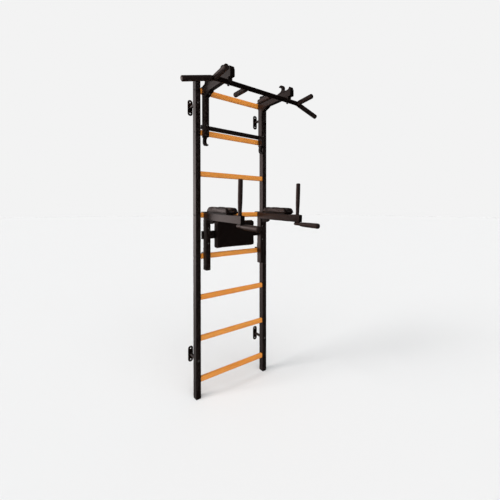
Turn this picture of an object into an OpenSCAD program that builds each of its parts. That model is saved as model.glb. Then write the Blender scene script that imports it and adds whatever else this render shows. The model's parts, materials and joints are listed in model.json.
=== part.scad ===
// Wall bars (stall bars) with a hook-on pull-up unit and a hook-on dip unit.
// Millimetres. Heights in the modules are measured from the floor, X from the middle of the ladder
// and Y from the middle plane of the rungs; datum() then moves everything so that the origin is the
// centre of the wall fixing holes, on the wall plane. +Z is up and the user stands on the -Y side.

/* [Part] */
// Which sub-part to draw

/* [Ladder] */
// Overall width over the posts
ladder_w = 670; // [600:10:900]
// Overall height from floor to post tops
ladder_h = 2376; // [2000:4:2700]
// Post width, across the ladder
post_x = 40; // [30:1:60]
// Post depth, front to back
post_y = 50; // [35:1:60]
// Post middle behind the rungs' middle
post_dy = 2.5; // [0:0.5:6]
// Post wall thickness
post_t = 2.5; // [1.5:0.5:4]
// Height of the lowest rung's centre
rung_z0 = 135; // [100:5:200]
// Distance from one rung to the next
rung_pitch = 306; // [200:1:320]
// Number of rungs
rung_n = 8; // [6:1:14]
// Rung section height
rung_h = 40; // [30:1:50]
// Rung section depth
rung_d = 28; // [22:1:40]
// Rung edge radius
rung_r = 10; // [4:1:14]

/* [Wall brackets] */
// Distance from the rungs' middle plane to the wall
wall_y = 118; // [80:1:180]
// Height of the upper brackets
bracket_top_z = 2180; // [1800:5:2350]
// Height of the lower brackets
bracket_low_z = 285; // [150:5:600]
// Plate width
plate_w = 40; // [30:1:60]
// Plate height
plate_h = 120; // [90:5:200]
// Plate thickness
plate_t = 5; // [3:1:8]
// Distance between the two holes of a plate
plate_holes = 84; // [60:1:150]
// Wall screw hole radius
plate_hole_r = 5; // [3:0.5:8]

/* [Pull-up unit] */
// Distance from the middle to an arm's centre
pull_x = 264.5; // [200:0.5:300]
// Width of the arm and leg tubes
pull_w = 35; // [25:1:50]
// Width of the claws and the leg hooks
claw_w = 20; // [12:1:25]
// Height of the cross tube
pull_cross_z = 2013; // [1980:1:2100]
// Height of the arm tube, also the depth of the leg tube
pull_tube = 50; // [40:1:70]
// Underside of the arms
pull_arm_z = 2246; // [1800:1:2400]
// Reach of the arms in front of the rungs' middle plane
pull_reach = 400; // [250:1:600]
// Lower end of the legs
pull_leg_z = 1932; // [1700:1:2200]
// Bar diameter
bar_d = 32; // [25:1:40]
// Distance of the bar in front of the rungs' middle plane
bar_y = 350; // [250:1:550]
// Height of the straight part of the bar
bar_z = 2227; // [1800:1:2400]
// Half length of the bar, middle to end
bar_half = 580; // [400:5:650]
// Where the bar starts to bend, from the middle
bar_bend_x = 345; // [200:1:500]
// Slope of the bar ends
bar_angle = 16; // [0:0.5:30]
// Bend radius of the bar
bar_bend_r = 150; // [80:5:300]
// Distance from the middle to an inner grip
inner_grip_x = 110; // [80:1:200]
// Distance from the middle to an outer grip
outer_grip_x = 370; // [250:1:450]
// Rise of the outer grips towards their ends
outer_grip_rise = 5.5; // [0:0.5:20]
// Grip diameter
grip_d = 36; // [30:1:42]

/* [Dip unit] */
// Distance from the middle to an arm's centre
dip_x = 255; // [200:1:300]
// Width of the arm tubes
dip_w = 30; // [25:1:50]
// Width of the leg tubes
dip_leg_w = 36; // [25:1:50]
// Depth of the leg tube
dip_leg_d = 50; // [30:1:70]
// Underside of the arms at the rungs
dip_arm_z = 1325; // [900:1:1600]
// Height of the arm tube
dip_arm_h = 54; // [40:1:80]
// Slope of the arms, down to the front
dip_tilt = 2; // [0:0.5:5]
// Reach of the arms in front of the rungs' middle plane
dip_reach = 497; // [350:1:650]
// Lower end of the legs
dip_leg_z = 958; // [800:1:1200]
// Height of the cross tube
dip_cross_z = 1210; // [1195:1:1225]
// Forearm pad width
pad_w = 90; // [60:1:120]
// Forearm pad length
pad_l = 271; // [160:1:300]
// Forearm pad thickness at its edges
pad_h = 40; // [28:1:50]
// Front end of the forearm pad
pad_front = 383; // [300:1:480]
// Backrest width
back_w = 358; // [250:2:420]
// Backrest height
back_h = 206; // [150:2:260]
// Backrest thickness over its board
back_t = 40; // [24:1:60]

/* [Hidden] */
$fn = 48;
steel = [0.13, 0.11, 0.11];
beech = [0.86, 0.56, 0.28];
vinyl = [0.07, 0.065, 0.065];
plastic = [0.05, 0.05, 0.05];
post_cx = (ladder_w - post_x) / 2;
post_back = post_dy + post_y / 2;
post_z0 = 12;
post_z1 = ladder_h - 4;
rung_half = ladder_w / 2 - post_x + 14;
fix_z = (bracket_top_z + bracket_low_z) / 2;
front = -(rung_d / 2 + 1);
rung7 = rung_z0 + 7 * rung_pitch + rung_h / 2;
rung4 = rung_z0 + 4 * rung_pitch + rung_h / 2;
rung3 = rung_z0 + 3 * rung_pitch + rung_h / 2;
pull_top = pull_arm_z + pull_tube;
dip_top = dip_arm_z + dip_arm_h;
lip0 = rung_d / 2 + 3;
bar_end = [bar_bend_x + bar_bend_r * sin(bar_angle), bar_bend_r * (1 - cos(bar_angle))];
bar_tail = (bar_half - bar_end[0]) / cos(bar_angle);
bar_lap = 5;
grip_l = 154;
dip_bolt_z = [1151, 1264];
dip_cross_x = 276;
low_grip_z = dip_arm_z - 14;
// Outlines as (Y, height above the arm): corner plate top, rear claw's base, and strip on the arm
plate_top = [[-158, 0], [-148, 5], [-130, 8], [8, 10], [lip0 + 3, 8], [lip0 + 7, 2]];
claw_base = [[-150, 0], [-118, 27], [-104, 34], [-60, 36], [-41, 36], [-20, 20], [2, 12], [6, 0]];
strip_top = [[-397, 3], [-393, 17], [-389, 20], [-385, 17], [-379, 8], [-370, 4], [-352, 3],
    [-340, 6], [-330, 12], [-322, 18], [-312, 20], [-298, 15], [-285, 8], [-262, 3], [-250, 0]];

module datum() translate([0, -wall_y, -fix_z]) children();

// ---------- helpers ----------
module rrect(w, h, r) {
    square([w - 2 * r, h], center = true);
    square([w, h - 2 * r], center = true);
    for (i = [-1, 1], j = [-1, 1]) translate([i * (w / 2 - r), j * (h / 2 - r)]) circle(r);
}

module tube(w, h, r, t, l) linear_extrude(l) difference() {
    rrect(w, h, r);
    rrect(w - 2 * t, h - 2 * t, max(r - t, 0.6));
}

// Profile drawn as (Y, Z), extruded along X to width w about x
module side_profile(x, w) translate([x - w / 2, 0, 0]) rotate([90, 0, 90]) linear_extrude(w) children();

// Round bar along Y, from y0 to y1
module rod_y(x, z, r, y0, y1) translate([x, y0, z]) rotate([-90, 0, 0]) cylinder(r = r, h = y1 - y0);
module rod_x(y, z, r, x0, x1) translate([x0, y, z]) rotate([0, 90, 0]) cylinder(r = r, h = x1 - x0);
module rod_z(x, y, r, z0, z1) translate([x, y, z0]) cylinder(r = r, h = z1 - z0);

module hex_prism(r, h) cylinder(r = r, h = h, $fn = 6);

// Domed socket head of radius r and height h, standing along +Z
module dome_head(r, h) difference() {
    s = (r * r + h * h) / (2 * h);
    rotate_extrude() intersection() {
        translate([0, h - s]) circle(s);
        square([r, h]);
    }
    translate([0, 0, h / 2]) hex_prism(r * 0.38, h);
}

// The same head on a face that looks to -Y
module dome_y(x, y, z, r, h) translate([x, y, z]) rotate([90, 0, 0]) dome_head(r, h);

// ---------- ladder ----------
module rung_section(grow) rrect(rung_d + 2 * grow, rung_h + 2 * grow, rung_r + grow);

module post(s) color(steel) datum() difference() {
    translate([s * post_cx, post_dy, post_z0]) tube(post_x, post_y, 4, post_t, post_z1 - post_z0);
    for (i = [0 : rung_n - 1]) translate([0, 0, rung_z0 + i * rung_pitch]) {
        translate([s * (post_cx - post_x / 2 - 1), 0, 0]) rotate([90, 0, s * 90])
            linear_extrude(post_t + 2) rung_section(0.15);
        rod_x(0, 0, 3.3, s * post_cx + (s > 0 ? 10 : -30), s * post_cx + (s > 0 ? 30 : -10));
    }
    for (z = [bracket_top_z, bracket_low_z]) rod_y(s * post_cx, z, 4.4, -40, 40);
}

module rung(i) color(beech) datum() translate([0, 0, rung_z0 + (i - 1) * rung_pitch]) difference() {
    translate([-rung_half, 0, 0]) rotate([90, 0, 90]) linear_extrude(2 * rung_half) rung_section(0);
    for (s = [-1, 1]) rod_x(0, 0, 3.1, s > 0 ? rung_half - 32 : -rung_half - 1,
        s > 0 ? rung_half + 1 : -rung_half + 32);
}

module rung_screws() color(steel) datum() for (i = [0 : rung_n - 1], s = [-1, 1])
    translate([s * ladder_w / 2, 0, rung_z0 + i * rung_pitch]) rotate([0, s * 90, 0]) {
        dome_head(6.5, 2.8);
        translate([0, 0, -38]) cylinder(r = 3, h = 38.5);
    }

module top_cap(s) color(plastic) datum() translate([s * post_cx, post_dy, post_z1]) {
    linear_extrude(3) rrect(post_x, post_y, 4);
    translate([0, 0, 3]) linear_extrude(1) rrect(post_x - 3, post_y - 3, 3);
    translate([0, 0, -14]) linear_extrude(14) rrect(post_x - 2 * post_t - 0.4,
        post_y - 2 * post_t - 0.4, 1.6);
}

module foot(s) color(plastic) datum() translate([s * post_cx, post_dy, 0]) {
    linear_extrude(2) rrect(post_x - 4, post_y - 4, 4);
    translate([0, 0, 2]) linear_extrude(post_z0 - 2) rrect(post_x, post_y, 5);
    translate([0, 0, post_z0]) linear_extrude(16) rrect(post_x - 2 * post_t - 0.4,
        post_y - 2 * post_t - 0.4, 1.6);
}

module wall_bracket(s, z) color(steel) datum() translate([s * post_cx, 0, z]) difference() {
    union() {
        translate([0, wall_y, 0]) rotate([90, 0, 0]) linear_extrude(plate_t)
            rrect(plate_w, plate_h, 18);
        rod_y(0, 0, 11, post_back, wall_y - plate_t);
        rod_y(0, 0, 15, post_back, post_back + 4);
        rod_y(0, 0, 15, wall_y - plate_t - 4, wall_y - plate_t);
    }
    for (j = [-1, 1]) rod_y(0, j * plate_holes / 2, plate_hole_r, wall_y - plate_t - 1, wall_y + 1);
    rod_y(0, 0, 4.2, post_back - 1, post_back + 30);
}

module bracket_bolts() color(steel) datum() for (s = [-1, 1], z = [bracket_top_z, bracket_low_z]) {
    dome_y(s * post_cx, post_dy - post_y / 2, z, 8, 4.5);
    rod_y(s * post_cx, z, 4, post_dy - post_y / 2, post_back + 26);
}

// ---------- pull-up unit ----------
module pull_arm(s) color(steel) datum() difference() {
    translate([s * pull_x, -pull_reach + 3, pull_arm_z + pull_tube / 2]) rotate([-90, 0, 0])
        tube(pull_w, pull_tube, 4, 2.5, pull_reach - 3 + front);
    rod_z(s * pull_x, -bar_y, 4.3, pull_arm_z - 1, pull_arm_z + 12);
}

module pull_leg(s) color(steel) datum() difference() {
    translate([s * pull_x, front - pull_tube / 2, pull_leg_z + 3])
        tube(pull_w, pull_tube, 4, 2.5, pull_arm_z - pull_leg_z - 3);
    rod_y(s * pull_x, pull_cross_z, 3.3, -80, 0);
}

// Points given as (Y, height above the arm), moved up to the arm's top
function on_arm(points) = [for (p = points) [p[0], pull_top + p[1]]];

// Corner plate that rests on the top rung and reaches down behind it
module pull_hook(s) color(steel) datum() side_profile(s * pull_x, pull_w)
    polygon(concat(on_arm(plate_top), [[lip0 + 7, rung7 - 17], [lip0 + 5, rung7 - 19],
        [lip0 + 2, rung7 - 19], [lip0, rung7 - 17], [lip0, rung7 - 2], [lip0 - 2, rung7 + 0.3],
        [front, rung7 + 0.3], [front, pull_top]]));

module strip_profile() polygon(concat([[-397, pull_top]], on_arm(strip_top)));

// Strip on the arm's top with a nose at its front end
module pull_saddles() color(steel) datum() for (s = [-1, 1]) side_profile(s * pull_x, pull_w)
    strip_profile();

// Crescent open towards the wall: outer and inner circles as [Y, height, radius], cut off at y_tip,
// with a base as the child
module crescent(outer, inner, y_tip, tip_r) {
    difference() {
        union() {
            difference() {
                translate([outer[0], outer[1]]) circle(outer[2]);
                translate([y_tip, outer[1] - 2 * outer[2]]) square([4 * outer[2], 4 * outer[2]]);
            }
            children();
        }
        translate([inner[0], inner[1]]) circle(inner[2]);
    }
    rise_out = sqrt(pow(outer[2], 2) - pow(y_tip - outer[0], 2));
    translate([y_tip, outer[1] + rise_out - tip_r]) circle(tip_r);
}

// Front claws above the strips and small rear claws above the corner plates
module pull_claws() color(plastic) datum() for (s = [-1, 1]) side_profile(s * pull_x, claw_w) {
    difference() {
        crescent([-285, pull_top + 33, 31], [-273, pull_top + 31, 21.5], -271, 4);
        strip_profile();
        translate([-330, pull_top - 10]) square([100, 13]);
    }
    difference() {
        crescent([-41, pull_top + 36, 22], [-29, pull_top + 37, 16], -30, 2.6)
            polygon(on_arm(claw_base));
        polygon(on_arm(concat(plate_top, [[lip0 + 7, -20], [-158, -20]])));
    }
}

// Hooks below the legs, open to the front
module pull_leg_hooks() color(plastic) datum() for (s = [-1, 1]) side_profile(s * pull_x, claw_w) {
    difference() {
        union() {
            intersection() {
                translate([-48, pull_leg_z - 28]) circle(37);
                translate([-90, pull_leg_z - 70]) square([90, 42]);
            }
            polygon([[-11, pull_leg_z - 28], [-15, pull_leg_z], [-65, pull_leg_z],
                [-85, pull_leg_z - 28]]);
        }
        translate([-64, pull_leg_z - 27]) circle(27.6);
        translate([-90, pull_leg_z - 70]) square([28, 68.5]);
    }
    translate([-62, pull_leg_z - 59.4]) circle(4.6);
}

module at_gusset_bolt(s) translate([s * pull_x, front - pull_tube - 37, pull_arm_z - 15.7])
    rotate([69, 0, 0]) children();

module pull_gussets() color(plastic) datum() for (s = [-1, 1]) difference() {
    side_profile(s * pull_x, pull_w - 1) translate([front - pull_tube, pull_arm_z])
        polygon([[0, 0], [0, -28], [-5, -28], [-70, -3], [-70, 0]]);
    at_gusset_bolt(s) rod_y(0, 0, 4.2, -30, 14.5);
}

module pull_cross_tube() color(steel) datum() difference() {
    translate([-279, -5, pull_cross_z]) rotate([90, 0, 90]) tube(20, 30, 3, 2, 558);
    for (s = [-1, 1]) rod_y(s * pull_x, pull_cross_z, 3.3, -40, 40);
}

module pull_plugs() color(plastic) datum() for (s = [-1, 1]) {
    translate([s * pull_x, -pull_reach, pull_arm_z + pull_tube / 2]) rotate([-90, 0, 0]) {
        linear_extrude(3) rrect(pull_w, pull_tube, 4);
        translate([0, 0, 3]) linear_extrude(14) rrect(pull_w - 5.4, pull_tube - 5.4, 1.6);
    }
    translate([s * 279, -5, pull_cross_z]) rotate([90, 0, s * 90]) {
        linear_extrude(3) rrect(20, 30, 3);
        translate([0, 0, -10]) linear_extrude(10) rrect(15.6, 25.6, 1);
    }
    translate([s * pull_x, front - pull_tube / 2, pull_leg_z]) {
        linear_extrude(3) rrect(pull_w, pull_tube, 4);
        translate([0, 0, 3]) linear_extrude(14) rrect(pull_w - 5.4, pull_tube - 5.4, 1.6);
    }
}

// The bar as a solid of radius r; its bends are a hair fatter, so the straight parts end inside them
module bar_solid(r) {
    rod_x(0, 0, r, -bar_bend_x - bar_lap, bar_bend_x + bar_lap);
    for (m = [0, 1]) mirror([m, 0, 0]) {
        translate([bar_bend_x, 0, -bar_bend_r]) rotate([90, 0, 0]) rotate([0, 0, 90 - bar_angle])
            rotate_extrude(angle = bar_angle, $fn = 120) translate([bar_bend_r, 0]) circle(r + 0.15);
        translate([bar_end[0], 0, -bar_end[1]]) rotate([0, 90 + bar_angle, 0])
            translate([0, 0, -bar_lap]) cylinder(r = r, h = bar_tail + bar_lap);
    }
}

module at_bar_end(s) translate([s * bar_end[0], -bar_y, bar_z - bar_end[1]])
    rotate([0, s * (90 + bar_angle), 0]) translate([0, 0, bar_tail]) children();

module pull_up_bar() color(steel) datum() difference() {
    translate([0, -bar_y, bar_z]) bar_solid(bar_d / 2);
    for (s = [-1, 1]) rod_z(s * pull_x, -bar_y, 4.3, bar_z - 30, bar_z + 30);
}

// Closed sleeve on each end of the bar
module end_grip(s) color(plastic) datum() at_bar_end(s) rotate_extrude() union() {
    rad = bar_d / 2 + 1.5;
    translate([bar_d / 2 + 0.1, 8 - bar_tail]) square([1.4, bar_tail - 7]);
    square([rad - 7, 8]);
    intersection() {
        translate([rad - 7, 1]) circle(7);
        square([rad, 8]);
    }
}

// Sleeve of length l on a round core, with a rounded far end; local +Z runs out of the bar
module grip_solid(l, rad) difference() {
    rotate_extrude() union() {
        square([bar_d / 2 - 3, 20]);
        translate([0, 17]) square([rad - 1.5, 5]);
        translate([0, 20]) square([rad, l - 20 - 9]);
        translate([0, l - 9]) square([rad - 9, 9]);
        intersection() {
            translate([rad - 9, l - 9]) circle(9);
            translate([0, l - 9]) square([rad, 9]);
        }
    }
    rotate([0, 90, 0]) translate([0, 0, -40]) cylinder(r = bar_d / 2 + 0.1, h = 80);
}

module inner_grip(s) color(plastic) datum() translate([s * inner_grip_x, -bar_y, bar_z])
    rotate([-90, 0, 0]) grip_solid(grip_l, grip_d / 2);

module outer_grip(s) color(plastic) datum() difference() {
    translate([s * outer_grip_x, -bar_y, bar_z - 2.5]) rotate([90 - outer_grip_rise, 0, 0])
        grip_solid(grip_l, grip_d / 2);
    translate([0, -bar_y, bar_z]) bar_solid(bar_d / 2 + 0.1);
}

module bar_clamps() color(steel) datum() for (s = [-1, 1]) difference() {
    side_profile(s * pull_x, pull_w - 3) polygon([[-bar_y - 24, pull_arm_z], [-bar_y - 24, bar_z + 2],
        [-bar_y - 20, bar_z - 4], [-bar_y + 20, bar_z - 4], [-bar_y + 24, bar_z + 2],
        [-bar_y + 24, pull_arm_z]]);
    rod_x(-bar_y, bar_z, bar_d / 2 + 0.1, s * pull_x - 40, s * pull_x + 40);
    rod_z(s * pull_x, -bar_y, 4.3, bar_z, pull_arm_z + 1);
}

module pull_bolts() color(steel) datum() for (s = [-1, 1]) {
    // through the leg and the cross tube
    dome_y(s * pull_x, front - pull_tube, pull_cross_z, 7, 4);
    rod_y(s * pull_x, pull_cross_z, 3, front - pull_tube, 12);
    translate([s * pull_x, 5, pull_cross_z]) rotate([-90, 0, 0]) hex_prism(6, 5);
    // up through the bar into the arm
    rod_z(s * pull_x, -bar_y, 4, bar_z - bar_d / 2 - 9, pull_arm_z + 10);
    translate([s * pull_x, -bar_y, bar_z - bar_d / 2 - 8]) hex_prism(7.5, 6);
    rod_z(s * pull_x, -bar_y, 9, bar_z - bar_d / 2 - 2, bar_z - bar_d / 2 - 0.5);
    difference() {
        rod_z(s * pull_x, -bar_y, 6.5, bar_z - bar_d / 2 - 1, bar_z - 12);
        rod_x(-bar_y, bar_z, bar_d / 2 + 0.05, s * pull_x - 20, s * pull_x + 20);
    }
    at_gusset_bolt(s) {
        dome_y(0, 0, 0, 7, 4);
        rod_y(0, 0, 4, 0, 14);
    }
}

// ---------- dip unit ----------
// Turns what sits on an arm about the lower edge of the arm's rear end, down to the front
module sloped() translate([0, front, dip_arm_z]) rotate([dip_tilt, 0, 0])
    translate([0, -front, -dip_arm_z]) children();

// Heights of the sloping arm's underside and top at distance y
function arm_under(y) = dip_arm_z + (y - front) * tan(dip_tilt);
function arm_over(y) = arm_under(y) + dip_arm_h / cos(dip_tilt);

module dip_arm(s) color(steel) datum() sloped() difference() {
    union() {
        translate([s * dip_x, -dip_reach + 3, dip_arm_z + dip_arm_h / 2]) rotate([-90, 0, 0])
            tube(dip_w, dip_arm_h, 4, 2.5, dip_reach - 3 + front);
        translate([s * dip_x - 8, -484, low_grip_z + 1]) cube([16, 38, dip_arm_z - low_grip_z]);
    }
    rod_y(s * dip_x, low_grip_z, 10.3, -520, -430);
}

module dip_leg(s) color(steel) datum() difference() {
    translate([s * dip_x, front - dip_leg_d / 2, dip_leg_z])
        tube(dip_leg_w, dip_leg_d, 4, 2.5, arm_under(front - dip_leg_d) - dip_leg_z);
    for (z = dip_bolt_z) rod_y(s * dip_x, z, 3.3, -80, 0);
}

module dip_gussets() color(plastic) datum() for (s = [-1, 1]) side_profile(s * dip_x, dip_w - 8)
    translate([front - dip_leg_d, 0]) polygon([[0, arm_under(front - dip_leg_d)],
        [0, dip_arm_z - 30], [-40, dip_arm_z - 29], [-62, dip_arm_z - 25], [-76, dip_arm_z - 18],
        [-84, dip_arm_z - 9], [-84, arm_under(front - dip_leg_d - 84)]]);

module dip_upper_hooks() color(steel) datum() for (s = [-1, 1]) side_profile(s * dip_x, dip_w)
    polygon([[-84, arm_over(-84)], [-82, dip_top + 4], [-34, dip_top + 6], [-20, rung4 + 6.3],
        [lip0 + 3, rung4 + 6.3], [lip0 + 6, rung4 + 3.3], [lip0 + 6, rung4 - 16],
        [lip0 + 4, rung4 - 18], [lip0 + 2, rung4 - 18], [lip0, rung4 - 16], [lip0, rung4 - 2],
        [lip0 - 2, rung4 + 0.3], [front, rung4 + 0.3], [front, arm_over(front)]]);

module dip_lower_hooks() color(steel) datum() for (s = [-1, 1]) side_profile(s * dip_x, dip_w)
    polygon([[front, rung3 + 0.3], [front, rung3 + 44], [front + 6, rung3 + 44],
        [front + 6, rung3 + 8], [front + 8, rung3 + 6.3], [lip0 + 3, rung3 + 6.3],
        [lip0 + 6, rung3 + 3.3], [lip0 + 6, rung3 - 16], [lip0 + 4, rung3 - 18],
        [lip0 + 2, rung3 - 18], [lip0, rung3 - 16], [lip0, rung3 - 2], [lip0 - 2, rung3 + 0.3]]);

module dip_cross_tube() color(steel) datum() translate([-dip_cross_x, -5, dip_cross_z])
    rotate([90, 0, 90]) tube(20, 60, 3, 2, 2 * dip_cross_x);

module dip_plugs() color(plastic) datum() for (s = [-1, 1]) {
    sloped() translate([s * dip_x, -dip_reach, dip_arm_z + dip_arm_h / 2]) rotate([-90, 0, 0]) {
        linear_extrude(3) rrect(dip_w, dip_arm_h, 4);
        translate([0, 0, 3]) linear_extrude(14) rrect(dip_w - 5.4, dip_arm_h - 5.4, 1.6);
    }
    translate([s * dip_x, front - dip_leg_d / 2, dip_leg_z]) {
        translate([0, 0, -3]) linear_extrude(3) rrect(dip_leg_w, dip_leg_d, 4);
        translate([0, 0, -5]) linear_extrude(2) rrect(dip_leg_w - 4, dip_leg_d - 4, 4);
        linear_extrude(14) rrect(dip_leg_w - 5.4, dip_leg_d - 5.4, 1.6);
    }
    translate([s * dip_cross_x, -5, dip_cross_z]) rotate([90, 0, s * 90]) {
        linear_extrude(3) rrect(20, 60, 3);
        translate([0, 0, -10]) linear_extrude(10) rrect(15.6, 55.6, 1);
    }
}

// Upright grip, a turned shape standing on the arm
module upright_grip(s) color(plastic) datum() sloped() translate([s * dip_x, -465, dip_top])
    rotate_extrude() union() {
        square([14, 4]);
        square([12, 14]);
        polygon([[0, 10], [12.2, 10], [13, 40], [14.8, 80], [15.2, 130], [15.3, 180], [15, 219],
            [0, 219]]);
        translate([0, 216]) square([7, 11]);
        intersection() {
            translate([7, 219]) circle(8);
            translate([0, 211]) square([16, 16]);
        }
    }

// Low grip along -Y, thin at its root under the arm and thick at its free end
module low_grip(s) color(plastic) datum() sloped() translate([s * dip_x, -437, low_grip_z])
    rotate([90, 0, 0]) rotate_extrude() polygon([[0, 0], [6, 0], [9, 2.5], [10.2, 6], [10.2, 52],
        [14, 62], [16, 84], [17, 110], [17.6, 150], [18, 190], [18.5, 212], [18.3, 219],
        [16.5, 224], [13, 227], [0, 228]]);

// Pad with a shallow trough along its top
module forearm_pad(s) color(vinyl) datum() sloped() intersection() {
    base = dip_top + 8.3;
    rear = pad_l - pad_front;
    translate([s * dip_x, -pad_front - 5, base]) rotate([90, 0, 180]) linear_extrude(pad_l + 10)
        difference() {
            side = [[41, 0], [45, 3], [44.5, 22], [42, 29], [37, 34], [31, 36]];
            half = [for (p = side) [p[0] * pad_w / 90, p[1] * pad_h / 36]];
            polygon(concat(half, [for (i = [len(half) - 1 : -1 : 0]) [-half[i][0], half[i][1]]]));
            translate([0, pad_h - 8.5 + 95]) circle(95, $fn = 180);
        }
    side_profile(s * dip_x, pad_w + 10) polygon([[-pad_front - 2, base - 5],
        [-pad_front - 2, base], [-pad_front, base + 4], [-pad_front + 22, base + pad_h + 5],
        [rear - 34, base + pad_h + 5], [rear, base + 4], [rear + 2, base], [rear + 2, base - 5]]);
}

module pad_boards() color(plastic) datum() sloped() for (s = [-1, 1])
    translate([s * dip_x, -pad_front + pad_l / 2, dip_top]) linear_extrude(8) rrect(pad_w - 10,
        pad_l - 12, 8);

module backrest_board() color(plastic) datum() translate([0, front, dip_cross_z + 1])
    rotate([90, 0, 0]) linear_extrude(8) rrect(back_w - 2, back_h - 2, 13);

module backrest_pad() color(vinyl) datum() translate([0, front - 8.3, dip_cross_z + 1])
    rotate([90, 0, 0]) {
        linear_extrude(3) rrect(back_w - 6, back_h - 6, 12);
        translate([0, 0, 3]) linear_extrude(back_t - 11) rrect(back_w, back_h, 14);
        translate([0, 0, back_t - 8]) linear_extrude(5) rrect(back_w - 5, back_h - 5, 13);
        translate([0, 0, back_t - 3]) linear_extrude(3) rrect(back_w - 14, back_h - 14, 12);
    }

module dip_bolts() color(steel) datum() for (s = [-1, 1], z = dip_bolt_z) {
    dome_y(s * dip_x, front - dip_leg_d, z, 6.5, 4);
    rod_y(s * dip_x, z, 3, front - dip_leg_d, front + 7);
    translate([s * dip_x, front, z]) rotate([-90, 0, 0]) hex_prism(6, 5);
}

post(-1);  // left_post
post(1);  // right_post
rung(1);  // rung_1
rung(2);  // rung_2
rung(3);  // rung_3
rung(4);  // rung_4
rung(5);  // rung_5
rung(6);  // rung_6
rung(7);  // rung_7
rung(8);  // rung_8
top_cap(-1);  // left_top_cap
top_cap(1);  // right_top_cap
foot(-1);  // left_foot
foot(1);  // right_foot
rung_screws();
wall_bracket(-1, bracket_top_z);  // bracket_top_left
wall_bracket(1, bracket_top_z);  // bracket_top_right
wall_bracket(-1, bracket_low_z);  // bracket_low_left
wall_bracket(1, bracket_low_z);  // bracket_low_right
bracket_bolts();
pull_arm(-1);  // pull_left_arm
pull_arm(1);  // pull_right_arm
pull_leg(-1);  // pull_left_leg
pull_leg(1);  // pull_right_leg
pull_hook(-1);  // pull_left_hook
pull_hook(1);  // pull_right_hook
pull_saddles();
pull_claws();
pull_leg_hooks();
pull_gussets();
pull_cross_tube();
pull_plugs();
pull_up_bar();
end_grip(-1);  // end_grip_left
end_grip(1);  // end_grip_right
inner_grip(-1);  // inner_grip_left
inner_grip(1);  // inner_grip_right
outer_grip(-1);  // outer_grip_left
outer_grip(1);  // outer_grip_right
bar_clamps();
pull_bolts();
dip_arm(-1);  // dip_left_arm
dip_arm(1);  // dip_right_arm
dip_leg(-1);  // dip_left_leg
dip_leg(1);  // dip_right_leg
dip_gussets();
dip_upper_hooks();
dip_lower_hooks();
dip_cross_tube();
dip_plugs();
upright_grip(-1);  // upright_grip_left
upright_grip(1);  // upright_grip_right
low_grip(-1);  // low_grip_left
low_grip(1);  // low_grip_right
forearm_pad(-1);  // forearm_pad_left
forearm_pad(1);  // forearm_pad_right
pad_boards();
backrest_board();
backrest_pad();
dip_bolts();
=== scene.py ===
"""Looks for the wall bars: camera, light, floor, materials and the details that ride on the CAD bodies."""

import json
import math

import bmesh
import bpy
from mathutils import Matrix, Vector
from mathutils.bvhtree import BVHTree


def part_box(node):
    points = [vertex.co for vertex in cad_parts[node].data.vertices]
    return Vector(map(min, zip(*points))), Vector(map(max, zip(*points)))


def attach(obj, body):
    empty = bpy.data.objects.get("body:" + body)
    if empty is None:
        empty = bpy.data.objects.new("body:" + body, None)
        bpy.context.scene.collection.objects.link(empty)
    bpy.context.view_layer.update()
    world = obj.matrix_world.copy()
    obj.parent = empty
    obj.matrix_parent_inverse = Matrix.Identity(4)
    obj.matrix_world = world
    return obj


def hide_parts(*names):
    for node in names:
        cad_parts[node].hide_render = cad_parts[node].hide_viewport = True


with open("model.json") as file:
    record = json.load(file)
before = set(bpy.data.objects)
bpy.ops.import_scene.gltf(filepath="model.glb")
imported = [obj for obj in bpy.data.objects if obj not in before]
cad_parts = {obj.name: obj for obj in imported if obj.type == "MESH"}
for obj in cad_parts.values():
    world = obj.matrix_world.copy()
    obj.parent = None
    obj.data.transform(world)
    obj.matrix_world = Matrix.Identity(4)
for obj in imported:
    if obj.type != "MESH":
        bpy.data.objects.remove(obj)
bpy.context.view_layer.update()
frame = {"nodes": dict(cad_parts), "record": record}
NODES = frame["nodes"]
SCENE = bpy.context.scene
LADDER, PULL, DIP = "ladder", "pull_up_unit", "dip_unit"
BRACKETS = ["bracket_%s_%s" % (level, side) for level in ("top", "low") for side in ("left", "right")]


def clamp(value):
    """The value held between 0 and 1."""
    return min(1.0, max(0.0, value))


# ------------------------------------------------------------------ node helpers
def new_material(name):
    mat = bpy.data.materials.new(name)
    mat.use_nodes = True
    tree = mat.node_tree
    tree.nodes.clear()
    out = tree.nodes.new("ShaderNodeOutputMaterial")
    bsdf = tree.nodes.new("ShaderNodeBsdfPrincipled")
    tree.links.new(bsdf.outputs["BSDF"], out.inputs["Surface"])
    return mat, tree, bsdf


def coords(tree, scale=(1, 1, 1)):
    tc = tree.nodes.new("ShaderNodeTexCoord")
    mp = tree.nodes.new("ShaderNodeMapping")
    mp.inputs["Scale"].default_value = scale
    tree.links.new(tc.outputs["Object"], mp.inputs["Vector"])
    return mp.outputs["Vector"]


def noise_tex(tree, vector, scale, detail=3.0, rough=0.5, distortion=0.0):
    n = tree.nodes.new("ShaderNodeTexNoise")
    n.inputs["Scale"].default_value = scale
    n.inputs["Detail"].default_value = detail
    n.inputs["Roughness"].default_value = rough
    n.inputs["Distortion"].default_value = distortion
    tree.links.new(vector, n.inputs["Vector"])
    return n.outputs["Fac"]


def voronoi(tree, vector, scale, feature="F1"):
    n = tree.nodes.new("ShaderNodeTexVoronoi")
    n.feature = feature
    n.inputs["Scale"].default_value = scale
    tree.links.new(vector, n.inputs["Vector"])
    return n.outputs["Distance"]


def ramp(tree, fac, stops):
    n = tree.nodes.new("ShaderNodeValToRGB")
    els = n.color_ramp.elements
    while len(els) < len(stops):
        els.new(0.5)
    for e, (p, c) in zip(els, stops):
        e.position = p
        e.color = (*c, 1.0)
    tree.links.new(fac, n.inputs["Fac"])
    return n.outputs["Color"]


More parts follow.
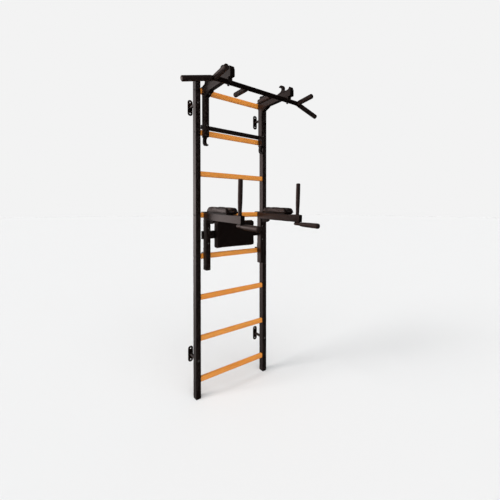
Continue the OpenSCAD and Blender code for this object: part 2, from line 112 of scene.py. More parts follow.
def grey(a, b, lo=0.0, hi=1.0):
    return [(lo, (a, a, a)), (hi, (b, b, b))]


def mixc(tree, fac, a, b, mode="MIX"):
    n = tree.nodes.new("ShaderNodeMix")
    n.data_type = "RGBA"
    n.blend_type = mode
    for sock, val in ((n.inputs[0], fac), (n.inputs[6], a), (n.inputs[7], b)):
        if isinstance(val, bpy.types.NodeSocket):
            tree.links.new(val, sock)
        elif isinstance(val, (int, float)):
            sock.default_value = val
        else:
            sock.default_value = (*val, 1.0)
    return n.outputs[2]


def addm(tree, a, b, op="ADD"):
    n = tree.nodes.new("ShaderNodeMath")
    n.operation = op
    for sock, val in ((n.inputs[0], a), (n.inputs[1], b)):
        if isinstance(val, bpy.types.NodeSocket):
            tree.links.new(val, sock)
        else:
            sock.default_value = val
    return n.outputs[0]


def bump(tree, bsdf, height, strength, distance):
    n = tree.nodes.new("ShaderNodeBump")
    n.inputs["Strength"].default_value = strength
    n.inputs["Distance"].default_value = distance
    tree.links.new(height, n.inputs["Height"])
    tree.links.new(n.outputs["Normal"], bsdf.inputs["Normal"])


def edge_wear(tree, base, worn, amount=0.6):
    """Lightens convex edges a little, broken up by noise, from the mesh's pointiness."""
    geo = tree.nodes.new("ShaderNodeNewGeometry")
    edge = ramp(tree, geo.outputs["Pointiness"], grey(0, 1, 0.53, 0.6))
    spots = ramp(tree, noise_tex(tree, coords(tree), 90.0, 4.0, 0.7), grey(0, 1, 0.45, 0.62))
    f = addm(tree, addm(tree, edge, spots, "MULTIPLY"), amount, "MULTIPLY")
    return mixc(tree, f, base, worn)


# ------------------------------------------------------------------ materials
# Tint of the gloss on the black parts, which looks brown in the light
WARM = (1.0, 0.66, 0.6, 1.0)


def powder_coat():
    mat, t, b = new_material("powder_coat")
    v = coords(t)
    peel = noise_tex(t, v, 900.0, 2.0, 0.5)
    fine = noise_tex(t, v, 2600.0, 2.0, 0.6)
    cloud = noise_tex(t, v, 6.0, 3.0, 0.5)
    share = ramp(t, cloud, grey(0, 1, 0.3, 0.7))
    base = mixc(t, share, (0.0028, 0.0015, 0.0013), (0.0036, 0.0021, 0.0018))
    t.links.new(edge_wear(t, base, (0.03, 0.024, 0.022), 0.5), b.inputs["Base Color"])
    t.links.new(ramp(t, cloud, grey(0.32, 0.37, 0.25, 0.75)), b.inputs["Roughness"])
    b.inputs["Specular IOR Level"].default_value = 0.5
    b.inputs["Specular Tint"].default_value = WARM
    bump(t, b, addm(t, peel, addm(t, fine, 0.5, "MULTIPLY")), 0.22, 0.0003)
    return mat


def beech():
    mat, t, b = new_material("beech")
    long_v = coords(t, (1.6, 34.0, 30.0))
    wave = noise_tex(t, coords(t, (0.9, 9.0, 9.0)), 2.2, 2.0, 0.5, 0.6)
    grain = noise_tex(t, long_v, 9.0, 6.0, 0.62, 0.35)
    fibre = noise_tex(t, coords(t, (9.0, 420.0, 420.0)), 4.0, 3.0, 0.6)
    flecks = voronoi(t, coords(t, (30.0, 420.0, 420.0)), 1.6)
    tone = noise_tex(t, coords(t, (0.05, 0.05, 3.3)), 1.0, 0.0)
    woods = [(0.28, (0.52, 0.165, 0.022)), (0.5, (0.7, 0.245, 0.034)), (0.75, (0.8, 0.315, 0.05))]
    c1 = ramp(t, grain, woods)
    c2 = mixc(t, ramp(t, wave, grey(0, 0.5, 0.35, 0.75)), c1, (0.86, 0.375, 0.068))
    c3 = mixc(t, ramp(t, fibre, grey(0.0, 0.35, 0.45, 0.7)), c2, (0.4, 0.15, 0.035))
    c4 = mixc(t, ramp(t, flecks, grey(0.4, 0.0, 0.05, 0.22)), c3, (0.34, 0.13, 0.035))
    c5 = mixc(t, ramp(t, tone, grey(0.0, 0.28, 0.35, 0.65)), c4, (0.8, 0.25, 0.026))
    t.links.new(c5, b.inputs["Base Color"])
    t.links.new(ramp(t, fibre, grey(0.34, 0.46, 0.3, 0.8)), b.inputs["Roughness"])
    b.inputs["Coat Weight"].default_value = 0.25
    b.inputs["Coat Roughness"].default_value = 0.3
    bump(t, b, addm(t, fibre, addm(t, grain, 0.7, "MULTIPLY")), 0.12, 0.0004)
    return mat


def vinyl():
    mat, t, b = new_material("vinyl")
    v = coords(t)
    warp = noise_tex(t, v, 140.0, 2.0, 0.5)
    cells = voronoi(t, v, 620.0, "DISTANCE_TO_EDGE")
    creases = ramp(t, cells, grey(0, 1, 0.0, 0.22))
    soft = noise_tex(t, v, 22.0, 3.0, 0.55)
    base = mixc(t, creases, (0.003, 0.002, 0.0018), (0.0055, 0.0038, 0.0034))
    faded = mixc(t, ramp(t, soft, grey(0, 0.4, 0.4, 0.7)), base, (0.007, 0.0048, 0.0042))
    t.links.new(faded, b.inputs["Base Color"])
    t.links.new(ramp(t, warp, grey(0.36, 0.46, 0.3, 0.7)), b.inputs["Roughness"])
    b.inputs["Specular IOR Level"].default_value = 0.75
    b.inputs["Specular Tint"].default_value = WARM
    bump(t, b, addm(t, addm(t, creases, 0.8, "MULTIPLY"), addm(t, warp, 0.5, "MULTIPLY")), 0.3, 0.0004)
    return mat


def rubber():
    mat, t, b = new_material("grip_rubber")
    v = coords(t)
    pores = voronoi(t, v, 900.0)
    fine = noise_tex(t, v, 500.0, 3.0, 0.6)
    dust = noise_tex(t, v, 30.0, 4.0, 0.6)
    share = ramp(t, dust, grey(0, 0.5, 0.45, 0.75))
    base = mixc(t, share, (0.0095, 0.0066, 0.006), (0.0155, 0.011, 0.01))
    t.links.new(base, b.inputs["Base Color"])
    t.links.new(ramp(t, fine, grey(0.36, 0.46, 0.3, 0.7)), b.inputs["Roughness"])
    b.inputs["Specular IOR Level"].default_value = 1.0
    b.inputs["Specular Tint"].default_value = WARM
    bump(t, b, addm(t, pores, fine), 0.25, 0.0003)
    return mat


def plastic():
    mat, t, b = new_material("black_plastic")
    v = coords(t)
    spark = noise_tex(t, v, 1400.0, 2.0, 0.5)
    tone = noise_tex(t, v, 12.0, 2.0, 0.5)
    share = ramp(t, tone, grey(0, 1, 0.35, 0.65))
    base = mixc(t, share, (0.0022, 0.0016, 0.0014), (0.0036, 0.0026, 0.0023))
    t.links.new(base, b.inputs["Base Color"])
    t.links.new(ramp(t, spark, grey(0.5, 0.6, 0.3, 0.7)), b.inputs["Roughness"])
    b.inputs["Specular IOR Level"].default_value = 0.32
    b.inputs["Specular Tint"].default_value = WARM
    bump(t, b, spark, 0.18, 0.0002)
    return mat


def bolt_steel():
    mat, t, b = new_material("black_steel")
    v = coords(t)
    fine = noise_tex(t, v, 700.0, 3.0, 0.6)
    tone = noise_tex(t, v, 60.0, 3.0, 0.6)
    base = mixc(t, ramp(t, tone, grey(0, 1, 0.35, 0.65)), (0.11, 0.1, 0.098), (0.17, 0.155, 0.15))
    t.links.new(edge_wear(t, base, (0.3, 0.28, 0.27), 0.8), b.inputs["Base Color"])
    b.inputs["Metallic"].default_value = 0.75
    t.links.new(ramp(t, fine, grey(0.3, 0.42, 0.3, 0.7)), b.inputs["Roughness"])
    bump(t, b, fine, 0.1, 0.0002)
    return mat


MATS = {
    "powder_coat": powder_coat(),
    "beech": beech(),
    "vinyl": vinyl(),
    "grip_rubber": rubber(),
    "black_plastic": plastic(),
    "black_steel": bolt_steel(),
}


def paint(obj, slot):
    obj.data.materials.clear()
    obj.data.materials.append(MATS[slot])


# Width of the rounding shown on the edges of cut steel plates and of moulded plastic, in metres
PLATE_EDGE, MOULDED_EDGE = 0.0008, 0.0012
SHARP = dict.fromkeys(["pull_left_hook", "pull_right_hook", "pull_saddles", "dip_upper_hooks",
                       "dip_lower_hooks"] + BRACKETS, PLATE_EDGE)
SHARP.update(dict.fromkeys(["pull_claws", "pull_leg_hooks", "pull_gussets", "dip_gussets",
                            "pad_boards", "backrest_board"], MOULDED_EDGE))
WELD_GAP = 0.00002
SHARP_ANGLE = math.radians(30.0)


def soften(obj, width):
    """Rounds the sharp edges of a CAD node as it is shown, without touching its mesh."""
    weld = obj.modifiers.new("join", "WELD")
    weld.merge_threshold = WELD_GAP
    mod = obj.modifiers.new("edge", "BEVEL")
    mod.width = width
    mod.segments = 2
    mod.limit_method = "ANGLE"
    mod.angle_limit = SHARP_ANGLE
    mod.use_clamp_overlap = True
    normals = obj.modifiers.new("normals", "WEIGHTED_NORMAL")
    normals.keep_sharp = False


for part in frame["record"]["subparts"]:
    node = NODES[part["node"]]
    paint(node, part["material_slot"])
    if part["node"] in SHARP:
        soften(node, SHARP[part["node"]])


# ------------------------------------------------------------------ camera, light, floor
# Distance from the rungs' middle plane to the wall, and height of the origin over the floor
WALL_Y, FIX_Z = 0.118, 1.2325
FLOOR_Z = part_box("left_foot")[0].z


def at(x, y, z):
    """A point given in metres from the floor, the ladder's middle and the rungs' middle plane."""
    return Vector((x, y - WALL_Y, z - FIX_Z))


CAMERA_AT = at(-1.275, -1.934, 1.4025)
# Compass angle of the view from +Y towards +X, and its rise, in degrees
CAMERA_TURN, CAMERA_RISE = 36.83, -0.6
FOCAL_LENGTH, SENSOR, VIEW_SHIFT = 20.707, 36.0, -0.0754


def make_camera():
    data = bpy.data.cameras.new("camera")
    obj = bpy.data.objects.new("camera", data)
    SCENE.collection.objects.link(obj)
    SCENE.camera = obj
    data.lens = FOCAL_LENGTH
    data.sensor_width = SENSOR
    data.sensor_fit = "HORIZONTAL"
    data.shift_y = VIEW_SHIFT
    data.clip_start = 0.05
    data.clip_end = 100.0
    obj.location = CAMERA_AT
    turn, rise = math.radians(CAMERA_TURN), math.radians(CAMERA_RISE)
    look = Vector((math.sin(turn) * math.cos(rise), math.cos(turn) * math.cos(rise), math.sin(rise)))
    obj.rotation_euler = look.to_track_quat("-Z", "Y").to_euler()


make_camera()
SCENE.view_settings.view_transform = "Standard"
SCENE.view_settings.look = "None"
SCENE.view_settings.exposure = 0.0
SCENE.view_settings.gamma = 1.0

# Radiance of the background, which the floor has to match so that no horizon shows
BACK = 0.896
FLOOR_ALBEDO = 0.8
# Radiance of the world as a light
ENV_LIGHT = 0.30
# Suns: direction to the lamp, the key's irradiance, and angular size in degrees
KEY_DIR, KEY_SUN, KEY_ANGLE = Vector((-0.778, 0.137, 0.613)), 1.5, 22.0
FILL_DIR, FILL_ANGLE = Vector((-0.42, -0.62, 0.66)), 85.0
# The soft boxes that glossy surfaces mirror: direction, then brightness for how near a ray is to it,
# where 0 is straight away from it, 0.5 is square to it and 1 is straight at it
BOXES = (
    (Vector((-0.45, 0.89, 0.04)),
     ((0.0, 0.006), (0.6, 0.015), (0.85, 0.08), (0.94, 0.3), (0.975, 0.95), (1.0, 2.4))),
    (Vector((-0.96, 0.1, 0.22)), ((0.86, 0.0), (0.94, 0.15), (1.0, 0.35))),
    (Vector((0.35, 0.75, 0.55)), ((0.86, 0.0), (1.0, 0.3))),
)
# Brightness that full white in the boxes' colour stands for
BOX_GAIN = 3.0


def background(t, color, strength):
    n = t.nodes.new("ShaderNodeBackground")
    n.inputs["Color"].default_value = (*color, 1)
    n.inputs["Strength"].default_value = strength
    return n


def shader_mix(t, fac, first, second):
    n = t.nodes.new("ShaderNodeMixShader")
    t.links.new(fac, n.inputs["Fac"])
    t.links.new(first, n.inputs[1])
    t.links.new(second, n.inputs[2])
    return n.outputs["Shader"]


def make_world():
    world = bpy.data.worlds.new("studio")
    SCENE.world = world
    world.use_nodes = True
    t = world.node_tree
    t.nodes.clear()
    out = t.nodes.new("ShaderNodeOutputWorld")
    seen = background(t, (1, 1, 1), BACK)
    lit = background(t, (0.99, 0.995, 1.0), ENV_LIGHT)
    mirrored = background(t, (1, 1, 1), BOX_GAIN)
    tc = t.nodes.new("ShaderNodeTexCoord")
    total = (0.0, 0.0, 0.0)
    for direction, stops in BOXES:
        dot = t.nodes.new("ShaderNodeVectorMath")
        dot.operation = "DOT_PRODUCT"
        dot.inputs[1].default_value = direction.normalized()
        t.links.new(tc.outputs["Generated"], dot.inputs[0])
        near = addm(t, addm(t, dot.outputs["Value"], 0.5, "MULTIPLY"), 0.5)
        light = ramp(t, near, [(place, (bright / BOX_GAIN,) * 3) for place, bright in stops])
        total = mixc(t, 1.0, total, light, "ADD")
    t.links.new(total, mirrored.inputs["Color"])
    path = t.nodes.new("ShaderNodeLightPath")
    other = shader_mix(t, path.outputs["Is Glossy Ray"], lit.outputs[0], mirrored.outputs[0])
    t.links.new(shader_mix(t, path.outputs["Is Camera Ray"], other, seen.outputs[0]), out.inputs["Surface"])


def sun(name, toward, irradiance, degrees, color):
    data = bpy.data.lights.new(name, "SUN")
    data.energy = irradiance
    data.color = color
    data.angle = math.radians(degrees)
    obj = bpy.data.objects.new(name, data)
    SCENE.collection.objects.link(obj)
    obj.rotation_euler = (-toward).to_track_quat("-Z", "Y").to_euler()
    obj.visible_glossy = False


def make_floor():
    bm = bmesh.new()
    bmesh.ops.create_grid(bm, x_segments=8, y_segments=8, size=60.0)
    for v in bm.verts:
        v.co.z = FLOOR_Z
    mesh = bpy.data.meshes.new("floor")
    bm.to_mesh(mesh)
    bm.free()
    obj = bpy.data.objects.new("floor", mesh)
    SCENE.collection.objects.link(obj)
    mat, t, b = new_material("studio_floor")
    soft = noise_tex(t, coords(t), 0.8, 2.0, 0.5)
    paper = mixc(t, ramp(t, soft, grey(0, 1, 0.3, 0.7)), (0.804, 0.808, 0.812), (0.806, 0.81, 0.814))
    t.links.new(paper, b.inputs["Base Color"])
    b.inputs["Roughness"].default_value = 0.9
    b.inputs["Specular IOR Level"].default_value = 0.0
    obj.data.materials.append(mat)
    obj.visible_glossy = False


make_world()
make_floor()
key_share = KEY_SUN * KEY_DIR.normalized().z / math.pi
fill_sun = (BACK / FLOOR_ALBEDO - ENV_LIGHT - key_share) * math.pi / FILL_DIR.normalized().z
sun("key", KEY_DIR, KEY_SUN, KEY_ANGLE, (1.0, 0.985, 0.97))
sun("fill", FILL_DIR, fill_sun, FILL_ANGLE, (1.0, 1.0, 1.0))


# ------------------------------------------------------------------ mesh helpers
def mesh_object(name, bm, slot_name, body):
    """Makes a finished piece from a bmesh: material slot, body and smooth shading."""
    bmesh.ops.recalc_face_normals(bm, faces=bm.faces)
    mesh = bpy.data.meshes.new(name)
    bm.to_mesh(mesh)
    bm.free()
    for poly in mesh.polygons:
        poly.use_smooth = True
    obj = bpy.data.objects.new(name, mesh)
    SCENE.collection.objects.link(obj)
    paint(obj, slot_name)
    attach(obj, body)
    return obj


def add_tube(bm, points, radii, closed=True, sides=8):
    """Adds a tube along the points, its frames carried along so that it doesn't twist."""
    count = len(points)
    normal = None
    rings = []
    for i, p in enumerate(points):
        if closed:
            tangent = (points[(i + 1) % count] - points[i - 1]).normalized()
        else:
            tangent = (points[min(i + 1, count - 1)] - points[max(i - 1, 0)]).normalized()
        if normal is None:
            normal = tangent.orthogonal().normalized()
        normal = (normal - tangent * normal.dot(tangent)).normalized()
        across = tangent.cross(normal)
        ring = []
        for k in range(sides):
            a = 2 * math.pi * k / sides
            ring.append(bm.verts.new(p + (normal * math.cos(a) + across * math.sin(a)) * radii[i]))
        rings.append(ring)
    last = count if closed else count - 1
    turn = 0
    if closed:
        turn = min(range(sides), key=lambda k: (rings[0][k].co - rings[-1][0].co).length)
    for i in range(last):
        a, b = rings[i], rings[(i + 1) % count]
        shift = turn if closed and i == count - 1 else 0
        for k in range(sides):
            bm.faces.new((a[k], a[(k + 1) % sides], b[(k + 1 + shift) % sides], b[(k + shift) % sides]))
    if not closed:
        bm.faces.new(rings[0])
        bm.faces.new(rings[-1])


def resample(points, step, closed=True):
    """Evenly spaced points along a polyline."""
    loop = points + [points[0]] if closed else points
    lengths = [(b - a).length for a, b in zip(loop, loop[1:])]
    total = sum(lengths)
    count = max(4, round(total / step))
    out, seg, start = [], 0, 0.0
    for i in range(count if closed else count + 1):
        d = total * i / count
        while seg < len(lengths) - 1 and d > start + lengths[seg]:
            start += lengths[seg]
            seg += 1
        t = min(1.0, (d - start) / lengths[seg]) if lengths[seg] else 0.0
        out.append(loop[seg].lerp(loop[seg + 1], t))
    return out


def round_rect(w, h, r, steps=6):
    """Outline of a rounded rectangle as (u, v) pairs about its middle."""
    out = []
    for cx, cy, start in ((1, 1, 0), (-1, 1, 90), (-1, -1, 180), (1, -1, 270)):
        for i in range(steps + 1):
            a = math.radians(start + 90 * i / steps)
            out.append((cx * (w / 2 - r) + r * math.cos(a), cy * (h / 2 - r) + r * math.sin(a)))
    return out


# A screw head's dome as (radius, height) in parts of the whole, and its socket's radius in the same way
DOME_PROFILE = ((1.0, -0.05), (1.0, 0.2), (0.95, 0.5), (0.82, 0.78), (0.64, 0.95), (0.5, 1.0))
SOCKET_SIZE = 0.42


def add_socket_head(bm, centre, out, radius, height, segments=24):
    """Adds a domed screw head with a hexagon socket, whose top points along out."""
    side = out.orthogonal().normalized()
    other = out.cross(side)
    turns = [2 * math.pi * k / segments for k in range(segments)]

    def spoke(a):
        return side * math.cos(a) + other * math.sin(a)

    loops = []
    for r, h in DOME_PROFILE:
        loops.append([bm.verts.new(centre + spoke(a) * radius * r + out * height * h) for a in turns])
    for depth in (0.98, 0.35):
        loop = []
        for a in turns:
            hexagon = math.cos(math.pi / 6) / math.cos((a + math.pi / 6) % (math.pi / 3) - math.pi / 6)
            reach = radius * SOCKET_SIZE * hexagon
            loop.append(bm.verts.new(centre + spoke(a) * reach + out * height * depth))
        loops.append(loop)
    for a, b in zip(loops, loops[1:]):
        for k in range(segments):
            bm.faces.new((a[k], a[(k + 1) % segments], b[(k + 1) % segments], b[k]))
    bm.faces.new(loops[0])
    bm.faces.new(loops[-1])


# ------------------------------------------------------------------ cushions
def smooth_bm(bm, rounds):
    for _ in range(rounds):
        bmesh.ops.smooth_vert(bm, verts=bm.verts, factor=0.5,
                              use_axis_x=True, use_axis_y=True, use_axis_z=True)


CLOTH_FRAMES, CLOTH_PRESSURE = 20, 4.0
# Size of the cells that a pad is remeshed in before it swells
VOXEL = 0.005


def inflate(obj):
    """Swells a closed mesh by cloth pressure and returns where its vertices end."""
    mod = obj.modifiers.new("cloth", "CLOTH")
    cloth = mod.settings
    cloth.quality = 6
    cloth.mass = 0.25
    cloth.tension_stiffness = cloth.compression_stiffness = 18.0
    cloth.bending_stiffness = 0.8
    cloth.use_pressure = True
    cloth.uniform_pressure_force = CLOTH_PRESSURE
    cloth.effector_weights.gravity = 0.0
    mod.collision_settings.use_collision = False
    for f in range(1, CLOTH_FRAMES + 1):
        SCENE.frame_set(f)
    shown = obj.evaluated_get(bpy.context.evaluated_depsgraph_get())
    ends = [v.co.copy() for v in shown.data.vertices]
    obj.modifiers.remove(mod)
    SCENE.frame_set(1)
    return ends


def fill_box(mesh, low, high):
    """Stretches a mesh a little so that it reaches the corners of a box."""
    for axis in range(3):
        values = [v.co[axis] for v in mesh.vertices]
        lo, hi = min(values), max(values)
        scale = (high[axis] - low[axis]) / (hi - lo)
        for v in mesh.vertices:
            v.co[axis] = low[axis] + (v.co[axis] - lo) * scale


def cushion(node, body, shrink, cap, hold, press=None):
    """Turns a plain CAD pad into a stuffed one. It starts smaller by shrink, and no point swells further
    than cap. hold(v) is 0 where it lies on its board and 1 where it is free. press(v) is how a point is
    moved after the swelling."""
    name = node + "_cushion"
    obj = bpy.data.objects.new(name, NODES[node].data.copy())
    SCENE.collection.objects.link(obj)
    mod = obj.modifiers.new("remesh", "REMESH")
    mod.mode = "VOXEL"
    mod.voxel_size = VOXEL
    shown = obj.evaluated_get(bpy.context.evaluated_depsgraph_get())
    mesh = bpy.data.meshes.new_from_object(shown)
    obj.modifiers.clear()
    obj.data = mesh
    bm = bmesh.new()
    bm.from_mesh(mesh)
    smooth_bm(bm, 4)
    bm.normal_update()
    for v in bm.verts:
        v.co -= v.normal * shrink * hold(v.co)
    bm.to_mesh(mesh)
    bm.free()
    for v, end in zip(mesh.vertices, inflate(obj)):
        move = end - v.co
        limit = cap * hold(v.co)
        v.co += move.normalized() * min(move.length, limit)
    bm = bmesh.new()
    bm.from_mesh(mesh)
    smooth_bm(bm, 2)
    bm.to_mesh(mesh)
    bm.free()
    fill_box(mesh, *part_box(node))
    if press:
        for v in mesh.vertices:
            v.co += press(v.co)
    for poly in mesh.polygons:
        poly.use_smooth = True
    sub = obj.modifiers.new("subdivision", "SUBSURF")
    sub.levels = sub.render_levels = 1
    paint(obj, "vinyl")
    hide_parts(node)
    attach(obj, body)
    return obj


def on_surface(obj, points, lift=0.0):
    """For each point, the nearest place on obj's surface, lifted along its normal, and that normal."""
    shown = obj.evaluated_get(bpy.context.evaluated_depsgraph_get())
    mesh = shown.to_mesh()
    spots = [v.co.copy() for v in mesh.vertices]
    tree = BVHTree.FromPolygons(spots, [tuple(f.vertices) for f in mesh.polygons])
    shown.to_mesh_clear()
    out = []
    for p in points:
        spot, normal, _, _ = tree.find_nearest(p)
        out.append((spot + normal * lift, normal))
    return out


def relax(points, rounds):
    """Evens out a closed line of points."""
    n = len(points)
    for _ in range(rounds):
        points = [points[i] * 0.5 + (points[i - 1] + points[(i + 1) % n]) * 0.25 for i in range(n)]
    return points


def piping(name, pad, loop, body, radius):
    """A corded seam round a cushion."""
    spots = on_surface(pad, resample(loop, 0.004))
    points = relax([p for p, _ in spots], 3)
    bm = bmesh.new()
    add_tube(bm, points, [radius] * len(points))
    return mesh_object(name, bm, "vinyl", body)


def stitches(name, pad, loop, body, pitch=0.0062, length=0.0042, radius=0.00062):
    """A row of stitches lying on a cushion."""
    spots = on_surface(pad, resample(loop, pitch), 0.0003)
    bm = bmesh.new()
    n = len(spots)
    for i, (p, normal) in enumerate(spots):
        along = (spots[(i + 1) % n][0] - spots[i - 1][0]).normalized()
        half = along * length / 2
        line = [p - half - normal * 0.0005, p - half * 0.5, p + half * 0.5, p + half - normal * 0.0005]
        add_tube(bm, line, [radius * 0.5, radius, radius, radius * 0.5], closed=False, sides=6)
    return mesh_object(name, bm, "vinyl", body)


# The arms slope down to the front by this angle, about a line just in front of the rungs
SLOPE = math.radians(2.0)
# That line's distance from the rungs' middle plane, the arms' underside there, and their height
FRONT_Y, ARM_Z, ARM_H = -0.015, 1.325, 0.054


def on_arm(x, y, h):
    """A point at distance y and height h over the sloping arm's underside, in metres."""
    dy = y - FRONT_Y
    forward = FRONT_Y + dy * math.cos(SLOPE) - h * math.sin(SLOPE)
    return at(x, forward, ARM_Z + dy * math.sin(SLOPE) + h * math.cos(SLOPE))


def over_arm(v):
    """Height of a point over the sloping arm's underside."""
    p = v - at(0, FRONT_Y, ARM_Z)
    return p.z * math.cos(SLOPE) - p.y * math.sin(SLOPE)


def over_board(v):
    """0 on the flat underside of a forearm pad, 1 a little above it."""
    return clamp((over_arm(v) - ARM_H - 0.0115) / 0.008)


# Forearm pads in the arm's own frame: ends, how far each leans in per height, and height of the base
PAD_FRONT, PAD_REAR, FRONT_LEAN, REAR_LEAN = -0.383, -0.112, 22 / 41, 34 / 41
PAD_BASE = ARM_H + 0.0083
# Outline of a pad's end as (across, up): one flank from its foot to its crown, and the whole of it
PAD_FLANK = [(0.041, 0.004), (0.0435, 0.012), (0.0425, 0.026), (0.038, 0.036), (0.031, 0.0395),
             (0.02, 0.0355)]
PAD_OUTLINE = [(-u, h) for u, h in PAD_FLANK] + [(0.0, 0.0322)] + PAD_FLANK[::-1] + [(0.0, 0.002)]
# Radius of the corded seams on the forearm pads and on the backrest
PAD_SEAM, BACK_SEAM = 0.0018, 0.0024


def pad_end(up, front, inset):
    """Distance of a pad's leaning end at that height, moved in by inset."""
    lean = max(0.0, up - 0.004)
    if front:
        return PAD_FRONT + FRONT_LEAN * lean + inset
    return PAD_REAR - REAR_LEAN * lean - inset


# The forearm's trough: half its width, and its extra depth at the rear and at the front
TROUGH_HALF, TROUGH_REAR, TROUGH_FRONT = 0.036, 0.003, 0.012


def trough(x, v):
    """How a forearm moves a point v of the pad whose middle is at x."""
    up = over_arm(v) - PAD_BASE
    across = min(1.0, abs(v.x - x) / TROUGH_HALF)
    along = clamp((PAD_REAR - (v.y + WALL_Y)) / (PAD_REAR - PAD_FRONT))
    depth = TROUGH_REAR + (TROUGH_FRONT - TROUGH_REAR) * along
    share = clamp((up - 0.008) / 0.02)
    return Vector((0, 0, -depth * share * math.cos(across * math.pi / 2) ** 2))


def make_studs(side, x, half):
    """A domed stud low on both sides of a pad, near its front end."""
    bm = bmesh.new()
    for s in (-1, 1):
        spot = on_arm(x + s * (half - 0.0006), PAD_FRONT + 0.019, PAD_BASE + 0.011)
        add_socket_head(bm, spot, Vector((s, 0, 0)), 0.0042, 0.0016)
    mesh_object("pad_%s_studs" % side, bm, "black_steel", DIP)


def make_forearm_pads():
    for side in ("left", "right"):
        lo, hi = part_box("forearm_pad_" + side)
        x = (lo.x + hi.x) / 2
        pad = cushion("forearm_pad_" + side, DIP, 0.003, 0.006, over_board, lambda v: trough(x, v))
        make_studs(side, x, (hi.x - lo.x) / 2)
        middle, length = (PAD_FRONT + PAD_REAR) / 2, PAD_REAR - PAD_FRONT
        outline = round_rect(0.088, length - 0.002, 0.006)
        base = [on_arm(x + u, middle + v, PAD_BASE + 0.006) for u, v in outline]
        piping("pad_%s_base_piping" % side, pad, base, DIP, PAD_SEAM)
        for end, front in (("front", True), ("rear", False)):
            ring = [on_arm(x + u, pad_end(h, front, 0.003), PAD_BASE + h) for u, h in PAD_OUTLINE]
            piping("pad_%s_%s_piping" % (side, end), pad, ring, DIP, PAD_SEAM)
            row = [on_arm(x + u, pad_end(h, front, 0.012), PAD_BASE + h) for u, h in PAD_OUTLINE[:-1]]
            stitches("pad_%s_%s_stitches" % (side, end), pad, row, DIP)


def make_backrest():
    lo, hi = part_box("backrest_pad")
    mid_x, mid_z = (lo.x + hi.x) / 2, (lo.z + hi.z) / 2
    w, h = hi.x - lo.x, hi.z - lo.z

    def before_board(v):
        return clamp((hi.y - 0.003 - v.y) / 0.01)

    pad = cushion("backrest_pad", DIP, 0.004, 0.008, before_board)
    for name, inset, y in (("front", 0.004, lo.y + 0.006), ("rear", 0.001, hi.y - 0.008)):
        ring = [Vector((mid_x + u, y, mid_z + v)) for u, v in round_rect(w - 2 * inset, h - 2 * inset, 0.014)]
        piping("backrest_%s_piping" % name, pad, ring, DIP, BACK_SEAM)
    inner = [Vector((mid_x + u, lo.y, mid_z + v)) for u, v in round_rect(w - 0.03, h - 0.03, 0.012)]
    stitches("backrest_stitches", pad, inner, DIP)


make_forearm_pads()
make_backrest()


# ------------------------------------------------------------------ welds
# Place and section of the lug under each dip arm, which holds the low grip
LUG_Y, LUG_W, LUG_D = -0.465, 0.016, 0.038
# Radius of the beads along the cross tubes, and of the ring that a bead makes round a wall spacer
CROSS_BEAD, SPACER_BEAD_R = 0.0024, 0.0115


def add_bead(bm, points, radius, closed=True):
    """Adds a weld bead with its ripples along the points."""
    line = resample(points, 0.0011, closed)
    radii = [radius * (1.0 + 0.13 * math.sin(2 * math.pi * i / 3)) for i in range(len(line))]
    add_tube(bm, line, radii, closed, 8)


def add_cross_beads(bm, tube, lo, hi):
    """Adds the beads over and under a cross tube, on the rear of the leg whose box is lo to hi."""
    t_lo, t_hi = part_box(tube)
    for z in (t_lo.z, t_hi.z):
        ends = [Vector((x, hi.y, z)) for x in (lo.x + 0.004, hi.x - 0.004)]
        add_bead(bm, ends, CROSS_BEAD, closed=False)


def make_pull_welds():
    bm = bmesh.new()
    for side in ("left", "right"):
        lo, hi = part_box("pull_%s_leg" % side)
        mid = (lo + hi) / 2
        outline = round_rect(hi.x - lo.x, hi.y - lo.y, 0.003, 3)
        add_bead(bm, [Vector((mid.x + u, mid.y + v, hi.z)) for u, v in outline], 0.0021)
        add_cross_beads(bm, "pull_cross_tube", lo, hi)
    mesh_object("pull_up_welds", bm, "powder_coat", PULL)


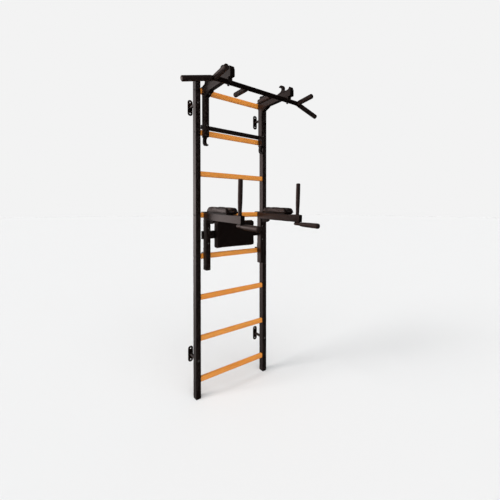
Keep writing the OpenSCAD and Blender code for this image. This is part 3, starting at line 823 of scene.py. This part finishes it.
def make_dip_welds():
    bm = bmesh.new()
    for side in ("left", "right"):
        lo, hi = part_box("dip_%s_leg" % side)
        a_lo, a_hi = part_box("dip_%s_arm" % side)
        y_rear, y_front = hi.y + WALL_Y, lo.y + WALL_Y
        for x in (a_lo.x, a_hi.x):
            add_bead(bm, [on_arm(x, y_rear - 0.004, 0), on_arm(x, y_front + 0.002, 0)], 0.0022, closed=False)
        add_cross_beads(bm, "dip_cross_tube", lo, hi)
        mid_x = (a_lo.x + a_hi.x) / 2
        lug = [on_arm(mid_x + u, LUG_Y + v, 0) for u, v in round_rect(LUG_W, LUG_D, 0.001, 2)]
        add_bead(bm, lug, 0.002)
    mesh_object("dip_welds", bm, "powder_coat", DIP)


def make_bracket_welds():
    bm = bmesh.new()
    turns = [2 * math.pi * i / 48 for i in range(48)]
    for bracket in BRACKETS:
        lo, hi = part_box(bracket)
        x, z, y = (lo.x + hi.x) / 2, (lo.z + hi.z) / 2, hi.y - 0.0042
        loop = [Vector((x + SPACER_BEAD_R * math.cos(a), y, z + SPACER_BEAD_R * math.sin(a))) for a in turns]
        add_bead(bm, loop, 0.0022)
    mesh_object("bracket_welds", bm, "powder_coat", LADDER)


make_pull_welds()
make_dip_welds()
make_bracket_welds()


# ------------------------------------------------------------------ screw heads
RUNGS = 8
BRACKET_HEAD_R = 0.008


def make_rung_screw_heads():
    """Socket heads in place of the plain ones on the posts' outer faces."""
    bm = bmesh.new()
    lo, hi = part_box("rung_screws")
    left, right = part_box("left_post")[0].x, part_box("right_post")[1].x
    for i in range(RUNGS):
        r_lo, r_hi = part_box("rung_%d" % (i + 1))
        mid = (r_lo + r_hi) / 2
        for out, x in ((Vector((-1, 0, 0)), left), (Vector((1, 0, 0)), right)):
            spot = Vector((x, mid.y, mid.z))
            add_socket_head(bm, spot, out, (hi.y - lo.y) / 2, abs(lo.x) - abs(left))
    heads = mesh_object("rung_screw_heads", bm, "black_steel", LADDER)
    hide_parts("rung_screws")


def make_bracket_bolt_heads():
    """Socket heads in place of the plain ones on the posts' fronts."""
    bm = bmesh.new()
    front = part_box("left_post")[0].y
    for bracket in BRACKETS:
        b_lo, b_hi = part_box(bracket)
        spot = Vector(((b_lo.x + b_hi.x) / 2, front, (b_lo.z + b_hi.z) / 2))
        add_socket_head(bm, spot, Vector((0, -1, 0)), BRACKET_HEAD_R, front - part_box("bracket_bolts")[0].y)
    heads = mesh_object("bracket_bolt_heads", bm, "black_steel", LADDER)
    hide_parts("bracket_bolts")


make_rung_screw_heads()
make_bracket_bolt_heads()
